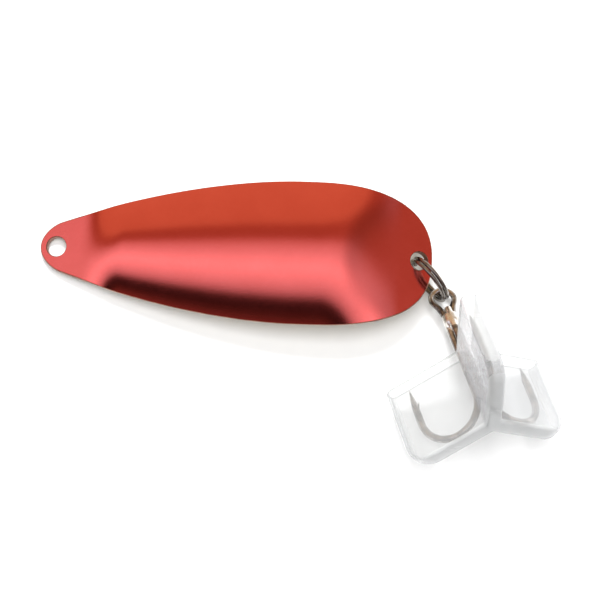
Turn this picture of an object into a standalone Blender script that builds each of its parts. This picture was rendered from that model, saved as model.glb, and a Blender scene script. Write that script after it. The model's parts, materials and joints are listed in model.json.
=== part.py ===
"""A casting spoon lure: a domed metal blade, a split ring, and a treble hook under a soft clear guard.

It lies as it would on a table: the blade's head tip, the ring's lower arc and the guard's two lower
wings touch the ground. The treble is built as such hooks are made: one wire bent into a double hook
with an eye, and a single hook brazed onto it.
"""

import math

import bmesh
import bpy
from mathutils import Matrix, Vector

# Blade. Its length runs along x from the head tip; distances along it are measured from that tip.
BLADE_LENGTH = 0.073
BLADE_WIDTH = 0.0265
BLADE_THICKNESS = 0.0016
BLADE_EDGE_ROUND = 0.0003
BOWL_DEPTH = 0.0026
WIDEST_PLACE = 0.665
HEAD_TAPER = 0.746
HEAD_TAPER_POWER = 1.8
NOSE_SHARE = 0.055
NOSE_POWER = 2.2
TAIL_POWER = 3.2
TAIL_ROOT = 2.4
HEAD_RISE = math.radians(2.5)
TAIL_FALL = math.radians(27.0)
TAIL_BEND_POWER = 8.0
HEAD_HOLE_DIAMETER = 0.0037
HEAD_HOLE_MARGIN = 0.00125
HEAD_LAND_MARGIN = 0.0026
TAIL_HOLE_CLEARANCE = 0.00092
TAIL_HOLE_MARGIN = 0.0007
TAIL_LAND_MARGIN = 0.0011
BOWL_HEAD_RUN = 0.0085
BOWL_TAIL_RUN = 0.0144
RING_SEAT_SHIFT = (-0.0003, 0.0003)
BLADE_STATIONS = 64
BLADE_STRIPS = 16
HOLE_SIDES = 40

# Split ring: two coils of round wire, side by side.
RING_DIAMETER = 0.0099
RING_WIRE = 0.00075
RING_COIL_GAP = 0.00006
RING_JOG_ANGLE = math.radians(38.0)
RING_JOG_PLACE = math.radians(-110.0)
RING_STEPS = 44
RING_JOG_STEPS = 6

# Treble hook. Its shank runs along x from the centre of the eye; the single hook points up (z).
HOOK_WIRE = 0.00135
EYE_WIRE = 0.0011
EYE_CLEARANCE = 0.00082
EYE_ROUND = math.radians(118.0)
EYE_NECK_LENGTH = 0.00215
WIRE_GAP = 0.00006
SHANK_LENGTH = 0.0226
HOOK_REACH = 0.0123
BEND_DEPTH = 0.0063
POINT_LENGTH = 0.0079
POINT_TAPER = 0.0048
POINT_TIP = 0.00012
POINT_POWER = 1.5
BARB_PLACE = 0.0040
BARB_LENGTH = 0.0014
BARB_WIDTH = 0.0007
BARB_TIP = 0.00012
BARB_RISE = math.radians(28.0)
SINGLE_HOOK_LEAD = 0.0003
SHANK_STEPS = 6
BEND_STEPS = 22
POINT_STEPS = 6
EYE_STEPS = 11
NECK_STEPS = 8
WIRE_SIDES = 12
BARB_SIDES = 8

# Braze metal, round the three wires where the single hook begins.
BRAZE_CAP = 0.0010
BRAZE_CAP_RADIUS = 0.00105
BRAZE_COVER = 0.0002
BRAZE_FILL = 0.0004
BRAZE_SIDES = 36
BRAZE_COLLAR_LENGTH = 0.0018
BRAZE_LENGTH = 0.0062
BRAZE_BORE = 0.0006

# Hook guard: three hollow wings, open towards the eye and closed past the bends.
GUARD_WALL = 0.00042
GUARD_SIDE_CLEARANCE = 0.0005
GUARD_END_CLEARANCE = 0.0031
GUARD_FLOOR_CLEARANCE = 0.0010
GUARD_MOUTH_COVER = 0.0013
GUARD_CORNER = 0.0045
GUARD_ROOT_ROUND = 0.0008
GUARD_CORNER_STEPS = 8
GUARD_ROOT_STEPS = 4
GUARD_SIDES = 72

# How far a cutter runs past what it cuts, and the sharpest bend that is shaded smooth.
CUTTER_MARGIN = 0.002
SMOOTH_LIMIT = math.radians(50.0)

# How the lure lies.
BLADE_PITCH = math.radians(7.1)
RING_YAW = math.radians(-50.0)
RING_DROOP = math.radians(22.0)
RING_LEAN = math.radians(-6.0)
TREBLE_YAW = math.radians(-70.0)
TREBLE_RISE = math.radians(30.0)
TREBLE_ROLL = math.radians(-8.0)


def clear_scene():
    for old in list(bpy.data.objects):
        bpy.data.objects.remove(old, do_unlink=True)


def material(name, colour, roughness, metallic, alpha=1.0):
    made = bpy.data.materials.new(name)
    made.use_nodes = True
    shader = made.node_tree.nodes["Principled BSDF"]
    shader.inputs["Base Color"].default_value = (*colour, 1.0)
    shader.inputs["Roughness"].default_value = roughness
    shader.inputs["Metallic"].default_value = metallic
    shader.inputs["Alpha"].default_value = alpha
    made.diffuse_color = (*colour, alpha)
    return made


def add_empty(name, matrix, parent=None):
    empty = bpy.data.objects.new(name, None)
    bpy.context.collection.objects.link(empty)
    empty.empty_display_size = 0.005
    empty.parent = parent
    bpy.context.view_layer.update()
    empty.matrix_world = matrix
    bpy.context.view_layer.update()
    return empty


def add_mesh(name, shape, parent, surface=None, smooth_angle=None):
    """Turns a bmesh into a named object in its parent's frame. With no surface it is a hidden helper."""
    mesh = bpy.data.meshes.new(name)
    bmesh.ops.recalc_face_normals(shape, faces=shape.faces)
    shape.to_mesh(mesh)
    shape.free()
    made = bpy.data.objects.new(name, mesh)
    bpy.context.collection.objects.link(made)
    made.parent = parent
    if surface is None:
        made.hide_render = True
        made.display_type = "WIRE"
    else:
        mesh.materials.append(surface)
    if smooth_angle is not None:
        mesh.shade_smooth()
        mesh.set_sharp_from_angle(angle=smooth_angle)
    return made


def add_boolean(target, helper, operation):
    modifier = target.modifiers.new(helper.name, "BOOLEAN")
    modifier.operation = operation
    modifier.object = helper
    modifier.solver = "EXACT"


def posed(location, yaw, pitch, roll):
    turn = Matrix.Rotation(yaw, 4, "Z") @ Matrix.Rotation(pitch, 4, "Y") @ Matrix.Rotation(roll, 4, "X")
    return Matrix.Translation(location) @ turn


# ---- Sizes that follow from others ----


def coil_pair_width():
    """The split ring's two coils side by side: what passes through the tail hole and the eye."""
    return 2 * RING_WIRE + RING_COIL_GAP


def tail_hole_diameter():
    return coil_pair_width() + 2 * TAIL_HOLE_CLEARANCE


def head_hole_inset():
    return HEAD_HOLE_DIAMETER / 2 + HEAD_HOLE_MARGIN


def tail_hole_inset():
    return tail_hole_diameter() / 2 + TAIL_HOLE_MARGIN


def head_land():
    """Length of the flat land at the head: past the line-tie hole by a margin."""
    return head_hole_inset() + HEAD_HOLE_DIAMETER / 2 + HEAD_LAND_MARGIN


def tail_land():
    return tail_hole_inset() + tail_hole_diameter() / 2 + TAIL_LAND_MARGIN


def ring_radius():
    """From the ring's middle to the middle of its wire."""
    return (RING_DIAMETER - RING_WIRE) / 2


def eye_radius():
    """From the eye's middle to the middle of its wire."""
    return (coil_pair_width() + EYE_WIRE) / 2 + EYE_CLEARANCE


def eye_neck():
    return eye_radius() + EYE_NECK_LENGTH


def shank_offset():
    """Distance of each wire's centre from the shank's axis, with the three wires side by side."""
    return (HOOK_WIRE + WIRE_GAP) / math.sqrt(3)


def single_hook_start():
    return eye_neck() - SINGLE_HOOK_LEAD


def pocket_thickness():
    return HOOK_WIRE + 2 * GUARD_SIDE_CLEARANCE


def guard_thickness():
    return pocket_thickness() + 2 * GUARD_WALL


def guard_reach():
    return HOOK_REACH + HOOK_WIRE / 2 + GUARD_END_CLEARANCE + GUARD_WALL


def guard_bottom():
    return SHANK_LENGTH + BEND_DEPTH + HOOK_WIRE / 2 + GUARD_FLOOR_CLEARANCE + GUARD_WALL


def guard_mouth():
    return SHANK_LENGTH - POINT_LENGTH - GUARD_MOUTH_COVER


# ---- Blade ----


def half_width(share):
    """Half of the blade's width at a share of its length, from the head tip (0) to the tail (1)."""
    if share < WIDEST_PLACE:
        outline = 1.0 - HEAD_TAPER * ((WIDEST_PLACE - share) / WIDEST_PLACE) ** HEAD_TAPER_POWER
    else:
        past = min((share - WIDEST_PLACE) / (1.0 - WIDEST_PLACE), 1.0)
        outline = (1.0 - past**TAIL_POWER) ** (1.0 / TAIL_ROOT)
    if share < NOSE_SHARE:
        ahead = 1.0 - share / NOSE_SHARE
        outline *= (1.0 - ahead**NOSE_POWER) ** (1.0 / NOSE_POWER)
    return BLADE_WIDTH / 2 * outline


def spine_slope(x):
    """Slope of the blade's rim line: straight lands at both ends, and a bend just before the tail land."""
    span = BLADE_LENGTH - head_land() - tail_land()
    share = min(max((x - head_land()) / span, 0.0), 1.0)
    return math.tan(HEAD_RISE) * (1.0 - share) - math.tan(TAIL_FALL) * share**TAIL_BEND_POWER


def spine_height(x):
    """Height of the rim line, from its slope in closed form."""
    span = BLADE_LENGTH - head_land() - tail_land()
    inside = min(max(x - head_land(), 0.0), span)
    share = inside / span
    rise = math.tan(HEAD_RISE) * (min(x, head_land()) + inside - inside * share / 2)
    fall = math.tan(TAIL_FALL) * inside * share**TAIL_BEND_POWER / (TAIL_BEND_POWER + 1)
    past_land = max(x - (BLADE_LENGTH - tail_land()), 0.0)
    return rise - fall - math.tan(TAIL_FALL) * past_land


def smooth_step(share):
    share = min(max(share, 0.0), 1.0)
    return share * share * (3.0 - 2.0 * share)


def bowl_strength(x):
    """How much of the cross curve the blade has: none on the two lands, and all of it between the runs."""
    from_head = smooth_step((x - head_land()) / BOWL_HEAD_RUN)
    from_tail = smooth_step((BLADE_LENGTH - tail_land() - x) / BOWL_TAIL_RUN)
    return from_head * from_tail


def blade_height(x, y):
    """Height of the middle surface. The cross curve leaves the rim at the same slope all along the bowl."""
    strength = bowl_strength(x)
    if strength <= 0.0:
        return spine_height(x)
    half = half_width(x / BLADE_LENGTH)
    bowl = BOWL_DEPTH * (half**2 - y**2) / (half * BLADE_WIDTH / 2)
    return spine_height(x) + strength * bowl


def blade_surface():
    """The blade's middle surface: strips of faces from the head tip to the tail tip."""
    shape = bmesh.new()
    rows = []
    for station in range(1, BLADE_STATIONS):
        share = (1.0 - math.cos(math.pi * station / BLADE_STATIONS)) / 2
        x = share * BLADE_LENGTH
        half = half_width(share)
        row = []
        for strip in range(BLADE_STRIPS + 1):
            y = half * math.sin(math.pi / 2 * (2 * strip / BLADE_STRIPS - 1))
            row.append(shape.verts.new((x, y, blade_height(x, y))))
        rows.append(row)
    head_tip = shape.verts.new((0, 0, blade_height(0, 0)))
    tail_tip = shape.verts.new((BLADE_LENGTH, 0, blade_height(BLADE_LENGTH, 0)))
    for strip in range(BLADE_STRIPS):
        shape.faces.new((head_tip, rows[0][strip + 1], rows[0][strip]))
        shape.faces.new((tail_tip, rows[-1][strip], rows[-1][strip + 1]))
        for near, far in zip(rows, rows[1:]):
            shape.faces.new((near[strip], near[strip + 1], far[strip + 1], far[strip]))
    return shape


def ring_seat():
    """Where the ring's coils pass through the tail hole, a little off its centre as a hanging ring lies."""
    x = BLADE_LENGTH - tail_hole_inset() + RING_SEAT_SHIFT[0]
    return Vector((x, RING_SEAT_SHIFT[1], blade_height(x, 0)))


def hole_cutter(name, x, slope, diameter, parent):
    """A drill that passes square through the land it stands on."""
    shape = bmesh.new()
    place = Matrix.Translation((x, 0, blade_height(x, 0))) @ Matrix.Rotation(-math.atan(slope), 4, "Y")
    bmesh.ops.create_cone(
        shape,
        cap_ends=True,
        segments=HOLE_SIDES,
        radius1=diameter / 2,
        radius2=diameter / 2,
        depth=BLADE_THICKNESS + 2 * CUTTER_MARGIN,
        matrix=place,
    )
    return add_mesh(name, shape, parent)


def build_blade(parent):
    surface = material("red_lacquered_brass", (0.60, 0.02, 0.02), 0.15, 0.9)
    blade = add_mesh("spoon_blade", blade_surface(), parent, surface)
    plate = blade.modifiers.new("plate", "SOLIDIFY")
    plate.thickness = BLADE_THICKNESS
    plate.offset = 0.0
    edge = blade.modifiers.new("edge", "BEVEL")
    edge.width = BLADE_EDGE_ROUND
    edge.segments = 2
    edge.limit_method = "ANGLE"
    edge.angle_limit = SMOOTH_LIMIT
    line_hole = hole_cutter(
        "line_hole_drill", head_hole_inset(), spine_slope(0.0), HEAD_HOLE_DIAMETER, parent
    )
    add_boolean(blade, line_hole, "DIFFERENCE")
    ring_hole = hole_cutter(
        "ring_hole_drill",
        BLADE_LENGTH - tail_hole_inset(),
        spine_slope(BLADE_LENGTH),
        tail_hole_diameter(),
        parent,
    )
    add_boolean(blade, ring_hole, "DIFFERENCE")
    return blade


# ---- Round shapes about the shank ----


def lathe_shape(profile, steps):
    """A solid turned about x from (x, radius) pairs that begin and end on the axis."""
    shape = bmesh.new()
    line = [shape.verts.new((x, 0, radius)) for x, radius in profile]
    edges = [shape.edges.new(pair) for pair in zip(line, line[1:])]
    bmesh.ops.spin(
        shape,
        geom=line + edges,
        axis=(1, 0, 0),
        cent=(0, 0, 0),
        angle=2 * math.pi,
        steps=steps,
        use_merge=True,
    )
    bmesh.ops.remove_doubles(shape, verts=shape.verts, dist=1e-6)
    return shape


# ---- Wire ----


def wire_shape(path, radii, sides):
    """A closed round wire along a path, with a radius at each of its points."""
    shape = bmesh.new()
    side = None
    rings = []
    for index, (point, radius) in enumerate(zip(path, radii)):
        ahead = path[min(index + 1, len(path) - 1)] - path[max(index - 1, 0)]
        ahead.normalize()
        if side is None:
            side = ahead.orthogonal().normalized()
        side = (side - ahead * side.dot(ahead)).normalized()
        across = ahead.cross(side)
        ring = []
        for step in range(sides):
            angle = 2 * math.pi * step / sides
            ring.append(shape.verts.new(point + radius * (math.cos(angle) * side + math.sin(angle) * across)))
        rings.append(ring)
    for near, far in zip(rings, rings[1:]):
        for step in range(sides):
            following = (step + 1) % sides
            shape.faces.new((near[step], near[following], far[following], far[step]))
    shape.faces.new(rings[0])
    shape.faces.new(reversed(rings[-1]))
    return shape


# ---- Split ring ----


def ring_path():
    """Two turns in the ring's plane, with one slanting step between them. Both ends stop beside the step."""
    pitch = RING_WIRE + RING_COIL_GAP
    turn = 2 * math.pi - RING_JOG_ANGLE
    points = []
    for coil in (-0.5, 0.5):
        start = RING_JOG_PLACE + RING_JOG_ANGLE / 2
        for step in range(RING_STEPS + 1):
            angle = start + turn * step / RING_STEPS
            points.append(
                Vector((ring_radius() * math.cos(angle), coil * pitch, ring_radius() * math.sin(angle)))
            )
        if coil < 0:
            for step in range(1, RING_JOG_STEPS):
                share = step / RING_JOG_STEPS
                angle = start + turn + RING_JOG_ANGLE * share
                rise = pitch * (smooth_step(share) - 0.5)
                points.append(
                    Vector((ring_radius() * math.cos(angle), rise, ring_radius() * math.sin(angle)))
                )
    return points


def build_ring(parent):
    surface = material("black_nickel_steel", (0.13, 0.12, 0.11), 0.28, 1.0)
    path = ring_path()
    shape = wire_shape(path, [RING_WIRE / 2] * len(path), WIRE_SIDES)
    bmesh.ops.translate(shape, verts=shape.verts, vec=(ring_radius(), 0, 0))
    return add_mesh("split_ring", shape, parent, surface, smooth_angle=SMOOTH_LIMIT)


# ---- Treble hook ----


def hook_arm(outward, start):
    """Points and radii of one hook, from its shank at distance start to the tip of its point."""
    inner = shank_offset()
    middle = (inner + HOOK_REACH) / 2
    spread = (HOOK_REACH - inner) / 2
    path = []
    radii = []
    for step in range(SHANK_STEPS + 1):
        x = start + (SHANK_LENGTH - start) * step / SHANK_STEPS
        path.append(Vector((x, 0, 0)) + inner * outward)
        radii.append(HOOK_WIRE / 2)
    for step in range(1, BEND_STEPS + 1):
        angle = math.pi * step / BEND_STEPS
        reach = middle - spread * math.cos(angle)
        path.append(Vector((SHANK_LENGTH + BEND_DEPTH * math.sin(angle), 0, 0)) + reach * outward)
        radii.append(HOOK_WIRE / 2)
    straight = POINT_LENGTH - POINT_TAPER
    for along in (straight / 2, straight):
        path.append(Vector((SHANK_LENGTH - along, 0, 0)) + HOOK_REACH * outward)
        radii.append(HOOK_WIRE / 2)
    for step in range(1, POINT_STEPS + 1):
        share = step / POINT_STEPS
        along = POINT_LENGTH - POINT_TAPER * (1 - share)
        path.append(Vector((SHANK_LENGTH - along, 0, 0)) + HOOK_REACH * outward)
        thinned = share**POINT_POWER
        radii.append(HOOK_WIRE / 2 * (1 - thinned) + POINT_TIP / 2 * thinned)
    return path, radii


def eye_side(outward):
    """Half of the eye: over its top, down one side and into the neck, ending on that hook's shank."""
    radius = eye_radius()
    sideways = Vector((0, math.copysign(1.0, outward.y), 0))
    path = []
    for step in range(EYE_STEPS + 1):
        angle = EYE_ROUND * step / EYE_STEPS
        path.append(Vector((-radius * math.cos(angle), 0, 0)) + radius * math.sin(angle) * sideways)
    begin = path[-1]
    begin_slope = Vector((math.sin(EYE_ROUND), 0, 0)) + math.cos(EYE_ROUND) * sideways
    end = Vector((eye_neck(), 0, 0)) + shank_offset() * outward
    length = (end - begin).length
    for step in range(1, NECK_STEPS):
        t = step / NECK_STEPS
        path.append(
            (2 * t**3 - 3 * t**2 + 1) * begin
            + (t**3 - 2 * t**2 + t) * length * begin_slope
            + (3 * t**2 - 2 * t**3) * end
            + (t**3 - t**2) * length * Vector((1, 0, 0))
        )
    radii = []
    for index in range(len(path)):
        share = smooth_step((index - EYE_STEPS - 1) / (NECK_STEPS - 1))
        radii.append((EYE_WIRE * (1 - share) + HOOK_WIRE * share) / 2)
    return path, radii


def arm_direction(turn):
    """Unit vector out from the shank, turned about it from straight up."""
    return Vector((0, math.sin(turn), math.cos(turn)))


ARM_TURNS = {"single": 0.0, "near": math.radians(120), "far": math.radians(-120)}


def double_hook_half(arm):
    """One half of the double hook's wire, from the top of the eye to the tip of its point."""
    outward = arm_direction(ARM_TURNS[arm])
    eye_path, eye_radii = eye_side(outward)
    hook_path, hook_radii = hook_arm(outward, eye_neck())
    return eye_path + hook_path, eye_radii + hook_radii


def double_hook_wire():
    near_path, near_radii = double_hook_half("near")
    far_path, far_radii = double_hook_half("far")
    return near_path[::-1] + far_path[1:], near_radii[::-1] + far_radii[1:]


def wire_slot(name, wire, parent):
    """A cutter that clears a wire by the gap between wires."""
    path, radii = wire
    return add_mesh(name, wire_shape(path, [radius + WIRE_GAP for radius in radii], WIRE_SIDES), parent)


def barb_wedge(name, turn, parent):
    """A slim cone on the inner side of a point, leaning away from the tip."""
    shape = bmesh.new()
    x = SHANK_LENGTH - POINT_LENGTH + BARB_PLACE
    lean = Matrix.Rotation(1.5 * math.pi - BARB_RISE, 4, "Y")
    place = Matrix.Translation((x, 0, HOOK_REACH - HOOK_WIRE / 2)) @ lean
    bmesh.ops.create_cone(
        shape,
        cap_ends=True,
        segments=BARB_SIDES,
        radius1=BARB_WIDTH / 2,
        radius2=BARB_TIP / 2,
        depth=BARB_LENGTH,
        matrix=Matrix.Rotation(-turn, 4, "X") @ place,
    )
    return add_mesh(name, shape, parent)


def build_hooks(parent):
    steel = material("bronzed_hook_steel", (0.20, 0.16, 0.13), 0.35, 1.0)
    path, radii = double_hook_wire()
    double = add_mesh("double_hook", wire_shape(path, radii, WIRE_SIDES), parent, steel, SMOOTH_LIMIT)
    for arm in ("near", "far"):
        add_boolean(double, barb_wedge(arm + "_barb", ARM_TURNS[arm], parent), "UNION")
    path, radii = hook_arm(arm_direction(ARM_TURNS["single"]), single_hook_start())
    single = add_mesh("single_hook", wire_shape(path, radii, WIRE_SIDES), parent, steel, SMOOTH_LIMIT)
    add_boolean(single, barb_wedge("single_barb", ARM_TURNS["single"], parent), "UNION")
    return double, single


def build_braze(parent):
    """Braze metal over the single hook's end and in the two grooves beside it.

    Each wire's slot is the wire plus its gap. The groove under the double hook stays open.
    """
    alloy = material("silver_braze", (0.62, 0.56, 0.48), 0.3, 1.0)
    start = single_hook_start() - BRAZE_CAP
    end = start + BRAZE_LENGTH
    collar = shank_offset() + HOOK_WIRE / 2 + WIRE_GAP + BRAZE_COVER
    groove = shank_offset() + BRAZE_FILL
    profile = [
        (start, 0.0),
        (start, BRAZE_CAP_RADIUS),
        (single_hook_start(), collar),
        (single_hook_start() + BRAZE_COLLAR_LENGTH, collar),
        (end, groove),
        (end, 0.0),
    ]
    braze = add_mesh("braze", lathe_shape(profile, BRAZE_SIDES), parent, alloy, SMOOTH_LIMIT)
    underside = bmesh.new()
    below = Matrix.Translation(((start + end) / 2, 0, -shank_offset() / 2 - collar))
    box = below @ Matrix.Diagonal((2 * BRAZE_LENGTH, 4 * collar, 2 * collar, 1.0))
    bmesh.ops.create_cube(underside, size=1.0, matrix=box)
    bore = bmesh.new()
    bore_middle = Matrix.Translation((single_hook_start() + BRAZE_LENGTH, 0, 0))
    bmesh.ops.create_cone(
        bore,
        cap_ends=True,
        segments=WIRE_SIDES,
        radius1=BRAZE_BORE / 2,
        radius2=BRAZE_BORE / 2,
        depth=2 * BRAZE_LENGTH,
        matrix=bore_middle @ Matrix.Rotation(math.pi / 2, 4, "Y"),
    )
    single_wire = hook_arm(arm_direction(ARM_TURNS["single"]), single_hook_start() - WIRE_GAP)
    cutters = bpy.data.collections.new("braze_cutters")
    for cutter in (
        add_mesh("braze_underside", underside, parent),
        add_mesh("braze_bore", bore, parent),
        wire_slot("near_slot", double_hook_half("near"), parent),
        wire_slot("far_slot", double_hook_half("far"), parent),
        wire_slot("single_slot", single_wire, parent),
    ):
        cutters.objects.link(cutter)
    slots = braze.modifiers.new("slots", "BOOLEAN")
    slots.operation = "DIFFERENCE"
    slots.operand_type = "COLLECTION"
    slots.collection = cutters
    slots.solver = "EXACT"
    return braze


# ---- Hook guard ----


def wings_shape(thickness, root_round, start, end):
    """Three flat wings round the shank, as one prism with rounded roots, from start to end along x."""
    shape = bmesh.new()
    long_reach = guard_reach() + CUTTER_MARGIN
    corners = []
    for arm in (0, 1, 2):
        turn = math.radians(120 * arm)
        outward = arm_direction(turn)
        sideways = arm_direction(turn + math.pi / 2)
        corners.append(long_reach * outward - thickness / 2 * sideways)
        corners.append(long_reach * outward + thickness / 2 * sideways)
        corner = arm_direction(turn + math.radians(60)) * thickness / math.sqrt(3)
        centre = arm_direction(turn + math.radians(60)) * (thickness + 2 * root_round) / math.sqrt(3)
        if root_round <= 0:
            corners.append(corner)
            continue
        for step in range(GUARD_ROOT_STEPS + 1):
            angle = turn + math.radians(270 - 60 * step / GUARD_ROOT_STEPS)
            corners.append(centre + root_round * arm_direction(angle))
    near = [shape.verts.new(corner + Vector((start, 0, 0))) for corner in corners]
    far = [shape.verts.new(corner + Vector((end, 0, 0))) for corner in corners]
    shape.faces.new(near)
    shape.faces.new(reversed(far))
    for index in range(len(corners)):
        following = (index + 1) % len(corners)
        shape.faces.new((near[index], near[following], far[following], far[index]))
    return shape


def tongue_shape(reach, start, end, corner):
    """A round tub about the shank that sets the wings' outline: a rounded corner at its closed end."""
    profile = [(start, 0.0), (start, reach)]
    for step in range(GUARD_CORNER_STEPS + 1):
        angle = math.pi / 2 * step / GUARD_CORNER_STEPS
        profile.append((end - corner * (1 - math.sin(angle)), reach - corner * (1 - math.cos(angle))))
    profile.append((end, 0.0))
    return lathe_shape(profile, GUARD_SIDES)


def build_guard(parent):
    surface = material("clear_soft_plastic", (0.90, 0.91, 0.93), 0.25, 0.0, alpha=0.35)
    end = guard_bottom()
    mouth = guard_mouth()
    guard = add_mesh(
        "hook_guard",
        wings_shape(guard_thickness(), GUARD_ROOT_ROUND, mouth, end + CUTTER_MARGIN),
        parent,
        surface,
        SMOOTH_LIMIT,
    )
    outline = add_mesh(
        "guard_outline", tongue_shape(guard_reach(), mouth - CUTTER_MARGIN, end, GUARD_CORNER), parent
    )
    add_boolean(guard, outline, "INTERSECT")
    pockets = add_mesh(
        "guard_pockets",
        wings_shape(pocket_thickness(), 0.0, mouth - CUTTER_MARGIN, end + CUTTER_MARGIN),
        parent,
    )
    pocket_outline = add_mesh(
        "pocket_outline",
        tongue_shape(
            guard_reach() - GUARD_WALL,
            mouth - 2 * CUTTER_MARGIN,
            end - GUARD_WALL,
            GUARD_CORNER - GUARD_WALL,
        ),
        parent,
    )
    add_boolean(pockets, pocket_outline, "INTERSECT")
    add_boolean(guard, pockets, "DIFFERENCE")
    return guard


# ---- Assembly ----


def world_bounds(nodes):
    graph = bpy.context.evaluated_depsgraph_get()
    points = []
    for node in nodes:
        evaluated = node.evaluated_get(graph)
        mesh = evaluated.to_mesh()
        points += [evaluated.matrix_world @ vertex.co for vertex in mesh.vertices]
        evaluated.to_mesh_clear()
    low = Vector([min(point[axis] for point in points) for axis in range(3)])
    high = Vector([max(point[axis] for point in points) for axis in range(3)])
    return low, high


def build_lure():
    clear_scene()
    ground = add_empty("lure", Matrix.Identity(4))
    blade_frame = add_empty("blade_frame", posed((0, 0, 0), 0, -BLADE_PITCH, 0), ground)
    blade = build_blade(blade_frame)
    pivot = blade_frame.matrix_world @ ring_seat()
    ring_frame = add_empty("ring_pivot", posed(pivot, RING_YAW, RING_DROOP, RING_LEAN), blade_frame)
    ring = build_ring(ring_frame)
    eye_place = ring_frame.matrix_world @ Vector((2 * ring_radius(), 0, 0))
    treble_frame = add_empty(
        "treble_pivot", posed(eye_place, TREBLE_YAW, -TREBLE_RISE, TREBLE_ROLL), ring_frame
    )
    double, single = build_hooks(treble_frame)
    braze = build_braze(treble_frame)
    guard = build_guard(treble_frame)
    bpy.context.view_layer.update()
    low, high = world_bounds([blade, ring, double, single, braze, guard])
    ground.location = (-(low.x + high.x) / 2, -(low.y + high.y) / 2, -low.z)
    bpy.context.view_layer.update()


build_lure()
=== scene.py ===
import json
import math

import bmesh
import bpy
from mathutils import Matrix, Vector


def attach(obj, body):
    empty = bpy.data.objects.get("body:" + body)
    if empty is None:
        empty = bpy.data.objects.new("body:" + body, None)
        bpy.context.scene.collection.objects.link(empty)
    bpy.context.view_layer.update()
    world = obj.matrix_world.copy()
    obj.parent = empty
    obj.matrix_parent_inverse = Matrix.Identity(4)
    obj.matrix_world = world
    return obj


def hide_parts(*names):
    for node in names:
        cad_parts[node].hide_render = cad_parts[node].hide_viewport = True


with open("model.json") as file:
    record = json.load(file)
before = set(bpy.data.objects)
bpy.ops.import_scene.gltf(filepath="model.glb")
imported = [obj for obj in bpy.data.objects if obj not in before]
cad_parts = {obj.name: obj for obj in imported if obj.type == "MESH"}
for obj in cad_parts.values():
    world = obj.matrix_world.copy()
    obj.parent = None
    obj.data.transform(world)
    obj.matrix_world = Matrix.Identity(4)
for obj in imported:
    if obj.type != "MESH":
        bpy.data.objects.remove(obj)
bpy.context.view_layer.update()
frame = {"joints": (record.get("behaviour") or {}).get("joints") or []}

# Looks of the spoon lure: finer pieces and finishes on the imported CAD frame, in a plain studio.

joints = {joint["name"]: joint for joint in frame["joints"]}

# ---- Sizes, as in the CAD source (metres) ----

BLADE_LENGTH = 0.073
BLADE_WIDTH = 0.0265
BLADE_THICKNESS = 0.0016
BLADE_EDGE_ROUND = 0.0003
BOWL_DEPTH = 0.0026
WIDEST_PLACE = 0.665
HEAD_TAPER = 0.746
HEAD_TAPER_POWER = 1.8
NOSE_SHARE = 0.055
NOSE_POWER = 2.2
TAIL_POWER = 3.2
TAIL_ROOT = 2.4
HEAD_RISE = math.radians(2.5)
TAIL_FALL = math.radians(27.0)
TAIL_BEND_POWER = 8.0
HEAD_HOLE_DIAMETER = 0.0037
HEAD_HOLE_MARGIN = 0.00125
HEAD_LAND_MARGIN = 0.0026
TAIL_HOLE_CLEARANCE = 0.00092
TAIL_HOLE_MARGIN = 0.0007
TAIL_LAND_MARGIN = 0.0011
BOWL_HEAD_RUN = 0.0085
BOWL_TAIL_RUN = 0.0144
RING_SEAT_SHIFT = (-0.0003, 0.0003)

RING_DIAMETER = 0.0099
RING_WIRE = 0.00075
RING_COIL_GAP = 0.00006
RING_JOG_ANGLE = math.radians(38.0)
RING_JOG_PLACE = math.radians(-110.0)

HOOK_WIRE = 0.00135
EYE_WIRE = 0.0011
EYE_CLEARANCE = 0.00082
EYE_ROUND = math.radians(118.0)
EYE_NECK_LENGTH = 0.00215
WIRE_GAP = 0.00006
SHANK_LENGTH = 0.0226
HOOK_REACH = 0.0123
BEND_DEPTH = 0.0063
POINT_LENGTH = 0.0079
POINT_TAPER = 0.0048
POINT_TIP = 0.00012
POINT_POWER = 1.5
BARB_PLACE = 0.0040
BARB_LENGTH = 0.0014
BARB_WIDTH = 0.0007
BARB_TIP = 0.00012
BARB_RISE = math.radians(28.0)
SINGLE_HOOK_LEAD = 0.0003
PAIR_TURNS = (math.radians(120), math.radians(-120))
BRAZE_CAP = 0.0010
BRAZE_LENGTH = 0.0062

GUARD_WALL = 0.00042
GUARD_SIDE_CLEARANCE = 0.0005
GUARD_END_CLEARANCE = 0.0031
GUARD_FLOOR_CLEARANCE = 0.0010
GUARD_MOUTH_COVER = 0.0013
GUARD_CORNER = 0.0045
GUARD_ROOT_ROUND = 0.0008

BLADE_PITCH = math.radians(7.1)
RING_YAW = math.radians(-50.0)
RING_DROOP = math.radians(22.0)
RING_LEAN = math.radians(-6.0)
TREBLE_YAW = math.radians(-70.0)
TREBLE_RISE = math.radians(30.0)
TREBLE_ROLL = math.radians(-8.0)

# ---- Details that only the shown pieces have (metres, or shares of a size) ----

COUNTERSINK = 0.00013
COUNTERSINK_KNEE_DEPTH = 0.6
COUNTERSINK_KNEE_WIDTH = 0.35
COUNTERSINK_END_DEPTH = 1.4
BARB_SQUASH = 0.75

BRAZE_WETTING_RUN = 0.25
BRAZE_THINNING = 0.85
BRAZE_THINNING_START = 0.45
BRAZE_FILL_DRY = 0.36
BRAZE_FILL_WET = 0.16
BRAZE_PAIR_SIDE_FILL = 0.86
# Cosine of the angle from the single hook beyond which a direction is on the pair's side.
BRAZE_PAIR_SIDE_START = -0.5
BRAZE_UNDER_WIRE = 0.00003
BRAZE_SKIN = 0.00007
BRAZE_LEAST_RADIUS = 0.0003
BRAZE_MOST_SKIN = 0.00014

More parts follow.
